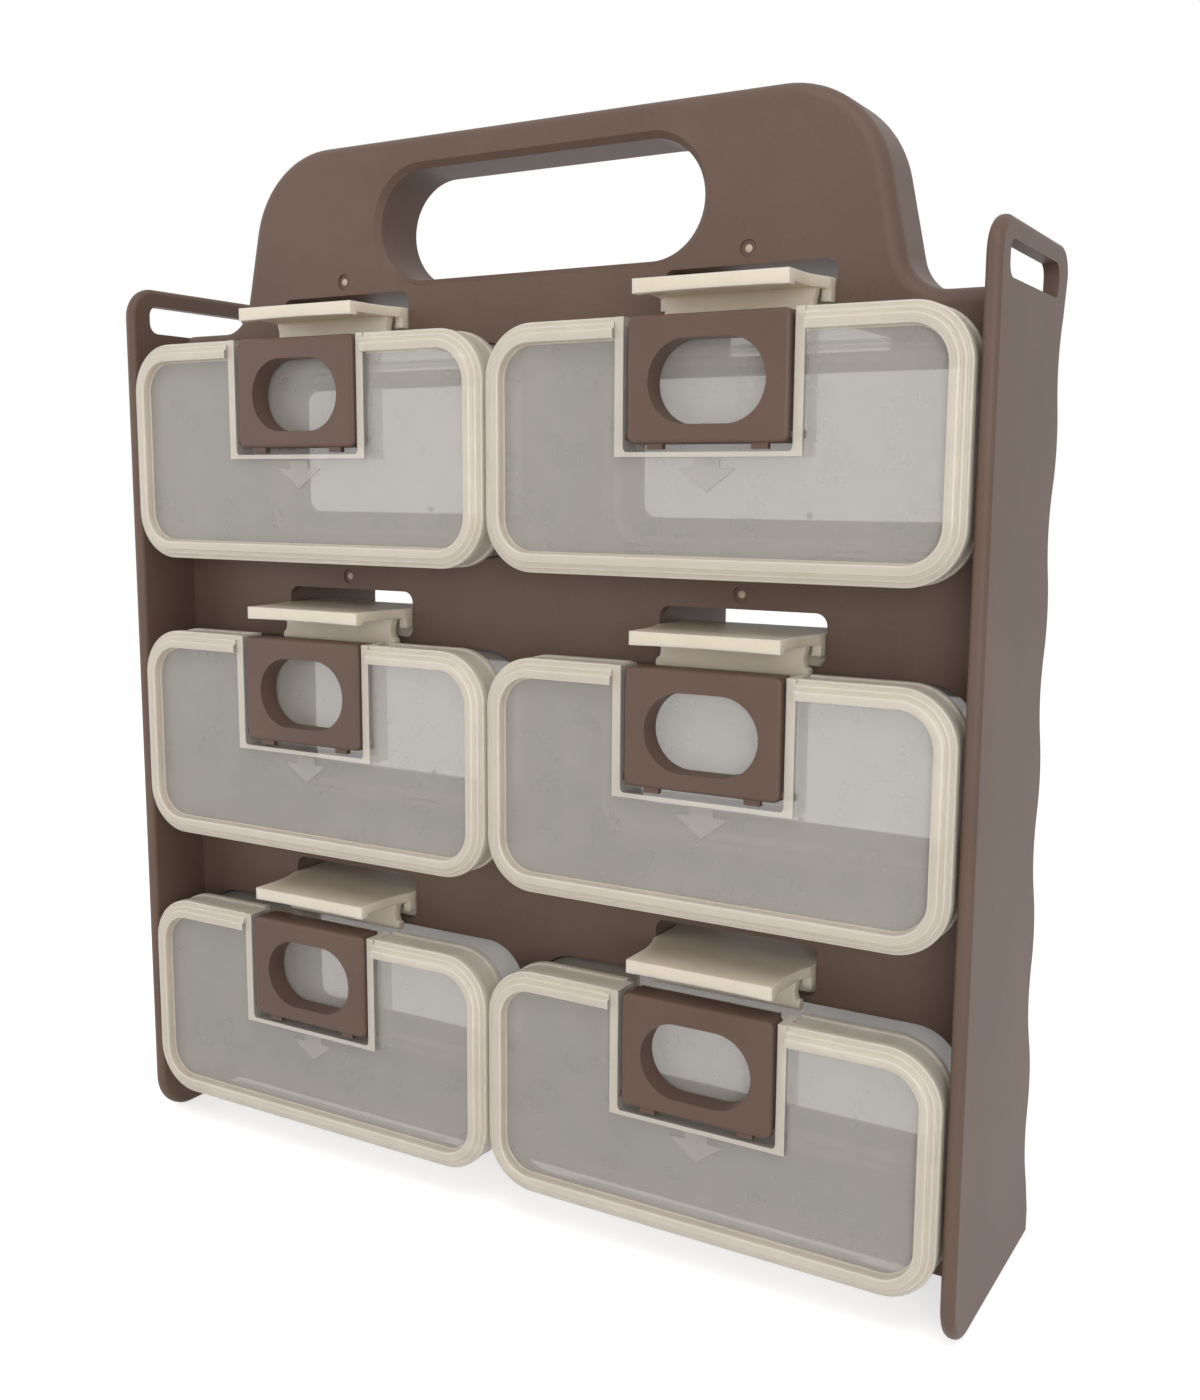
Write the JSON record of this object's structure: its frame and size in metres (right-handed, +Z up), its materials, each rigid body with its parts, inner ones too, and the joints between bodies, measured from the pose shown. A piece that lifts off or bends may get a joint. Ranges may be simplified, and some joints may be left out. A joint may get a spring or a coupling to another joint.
{
  "type": "small-parts carrying case",
  "caption": "Upright carrying rack with a moulded handle that holds clear lidded boxes, each with a finger latch and a spring clip that locks it in its socket.",
  "frame": {"origin": "middle of the footprint, on the surface that the case stands on", "axes": "+Z up, +Y from the front to the back, +X to the right as seen from the front"},
  "size_m": [0.26, 0.0712, 0.2946],
  "materials": {
    "rack_plastic": "satin warm grey moulded plastic with a fine grain",
    "latch_plastic": "satin warm grey moulded plastic",
    "clear_plastic": "translucent natural polypropylene, slightly cloudy",
    "lid_plastic": "translucent natural polypropylene, fine matt face and brighter rims",
    "clip_plastic": "natural polypropylene, thick enough to look cream, satin"
  },
  "bodies": {
    "rack": {"rack_handle": "rack_plastic", "rack_wall_left": "rack_plastic", "rack_wall_right": "rack_plastic", "rack_socket_1": "rack_plastic", "rack_channel_1": "rack_plastic", "rack_socket_2": "rack_plastic", "rack_channel_2": "rack_plastic", "rack_socket_3": "rack_plastic", "rack_channel_3": "rack_plastic", "rack_socket_4": "rack_plastic", "rack_channel_4": "rack_plastic", "rack_socket_5": "rack_plastic", "rack_channel_5": "rack_plastic", "rack_socket_6": "rack_plastic", "rack_channel_6": "rack_plastic"},
    "box_1": {"box_1_body": "clear_plastic"},
    "box_1_lid": {"box_1_lid": "lid_plastic"},
    "box_1_latch": {"box_1_latch": "latch_plastic"},
    "box_1_clip": {"box_1_clip": "clip_plastic"},
    "box_2": {"box_2_body": "clear_plastic"},
    "box_2_lid": {"box_2_lid": "lid_plastic"},
    "box_2_latch": {"box_2_latch": "latch_plastic"},
    "box_2_clip": {"box_2_clip": "clip_plastic"},
    "box_3": {"box_3_body": "clear_plastic"},
    "box_3_lid": {"box_3_lid": "lid_plastic"},
    "box_3_latch": {"box_3_latch": "latch_plastic"},
    "box_3_clip": {"box_3_clip": "clip_plastic"},
    "box_4": {"box_4_body": "clear_plastic"},
    "box_4_lid": {"box_4_lid": "lid_plastic"},
    "box_4_latch": {"box_4_latch": "latch_plastic"},
    "box_4_clip": {"box_4_clip": "clip_plastic"},
    "box_5": {"box_5_body": "clear_plastic"},
    "box_5_lid": {"box_5_lid": "lid_plastic"},
    "box_5_latch": {"box_5_latch": "latch_plastic"},
    "box_5_clip": {"box_5_clip": "clip_plastic"},
    "box_6": {"box_6_body": "clear_plastic"},
    "box_6_lid": {"box_6_lid": "lid_plastic"},
    "box_6_latch": {"box_6_latch": "latch_plastic"},
    "box_6_clip": {"box_6_clip": "clip_plastic"}
  },
  "joints": [
    {"name": "box_1_pull", "type": "slide", "parent": "rack", "child": "box_1", "axis": [0, -1, 0], "range_m": [0, 0.062], "deforming": ["box_1_clip"]},
    {"name": "box_1_clip_press", "type": "hinge", "parent": "box_1", "child": "box_1_clip", "pos_m": [-0.06298, -0.0168, 0.23925], "axis": [1, 0, 0], "range_deg": [0, 12], "stiffness_Nm_per_rad": 0.45},
    {"name": "box_1_lid_swing", "type": "hinge", "parent": "box_1", "child": "box_1_lid", "pos_m": [-0.06298, -0.02445, 0.17895], "axis": [1, 0, 0], "range_deg": [0, 90]},
    {"name": "box_1_latch_turn", "type": "hinge", "parent": "box_1_lid", "child": "box_1_latch", "pos_m": [-0.06298, -0.0322, 0.212], "axis": [1, 0, 0], "range_deg": [0, 60]},
    {"name": "box_2_pull", "type": "slide", "parent": "rack", "child": "box_2", "axis": [0, -1, 0], "range_m": [0, 0.062], "deforming": ["box_2_clip"]},
    {"name": "box_2_clip_press", "type": "hinge", "parent": "box_2", "child": "box_2_clip", "pos_m": [0.06298, -0.0168, 0.23925], "axis": [1, 0, 0], "range_deg": [0, 12], "stiffness_Nm_per_rad": 0.45},
    {"name": "box_2_lid_swing", "type": "hinge", "parent": "box_2", "child": "box_2_lid", "pos_m": [0.06298, -0.02445, 0.17895], "axis": [1, 0, 0], "range_deg": [0, 90]},
    {"name": "box_2_latch_turn", "type": "hinge", "parent": "box_2_lid", "child": "box_2_latch", "pos_m": [0.06298, -0.0322, 0.212], "axis": [1, 0, 0], "range_deg": [0, 60]},
    {"name": "box_3_pull", "type": "slide", "parent": "rack", "child": "box_3", "axis": [0, -1, 0], "range_m": [0, 0.062], "deforming": ["box_3_clip"]},
    {"name": "box_3_clip_press", "type": "hinge", "parent": "box_3", "child": "box_3_clip", "pos_m": [-0.06298, -0.0168, 0.15575], "axis": [1, 0, 0], "range_deg": [0, 12], "stiffness_Nm_per_rad": 0.45},
    {"name": "box_3_lid_swing", "type": "hinge", "parent": "box_3", "child": "box_3_lid", "pos_m": [-0.06298, -0.02445, 0.09545], "axis": [1, 0, 0], "range_deg": [0, 90]},
    {"name": "box_3_latch_turn", "type": "hinge", "parent": "box_3_lid", "child": "box_3_latch", "pos_m": [-0.06298, -0.0322, 0.1285], "axis": [1, 0, 0], "range_deg": [0, 60]},
    {"name": "box_4_pull", "type": "slide", "parent": "rack", "child": "box_4", "axis": [0, -1, 0], "range_m": [0, 0.062], "deforming": ["box_4_clip"]},
    {"name": "box_4_clip_press", "type": "hinge", "parent": "box_4", "child": "box_4_clip", "pos_m": [0.06298, -0.0168, 0.15575], "axis": [1, 0, 0], "range_deg": [0, 12], "stiffness_Nm_per_rad": 0.45},
    {"name": "box_4_lid_swing", "type": "hinge", "parent": "box_4", "child": "box_4_lid", "pos_m": [0.06298, -0.02445, 0.09545], "axis": [1, 0, 0], "range_deg": [0, 90]},
    {"name": "box_4_latch_turn", "type": "hinge", "parent": "box_4_lid", "child": "box_4_latch", "pos_m": [0.06298, -0.0322, 0.1285], "axis": [1, 0, 0], "range_deg": [0, 60]},
    {"name": "box_5_pull", "type": "slide", "parent": "rack", "child": "box_5", "axis": [0, -1, 0], "range_m": [0, 0.062], "deforming": ["box_5_clip"]},
    {"name": "box_5_clip_press", "type": "hinge", "parent": "box_5", "child": "box_5_clip", "pos_m": [-0.06298, -0.0168, 0.07225], "axis": [1, 0, 0], "range_deg": [0, 12], "stiffness_Nm_per_rad": 0.45},
    {"name": "box_5_lid_swing", "type": "hinge", "parent": "box_5", "child": "box_5_lid", "pos_m": [-0.06298, -0.02445, 0.01195], "axis": [1, 0, 0], "range_deg": [0, 90]},
    {"name": "box_5_latch_turn", "type": "hinge", "parent": "box_5_lid", "child": "box_5_latch", "pos_m": [-0.06298, -0.0322, 0.045], "axis": [1, 0, 0], "range_deg": [0, 60]},
    {"name": "box_6_pull", "type": "slide", "parent": "rack", "child": "box_6", "axis": [0, -1, 0], "range_m": [0, 0.062], "deforming": ["box_6_clip"]},
    {"name": "box_6_clip_press", "type": "hinge", "parent": "box_6", "child": "box_6_clip", "pos_m": [0.06298, -0.0168, 0.07225], "axis": [1, 0, 0], "range_deg": [0, 12], "stiffness_Nm_per_rad": 0.45},
    {"name": "box_6_lid_swing", "type": "hinge", "parent": "box_6", "child": "box_6_lid", "pos_m": [0.06298, -0.02445, 0.01195], "axis": [1, 0, 0], "range_deg": [0, 90]},
    {"name": "box_6_latch_turn", "type": "hinge", "parent": "box_6_lid", "child": "box_6_latch", "pos_m": [0.06298, -0.0322, 0.045], "axis": [1, 0, 0], "range_deg": [0, 60]}
  ]
}
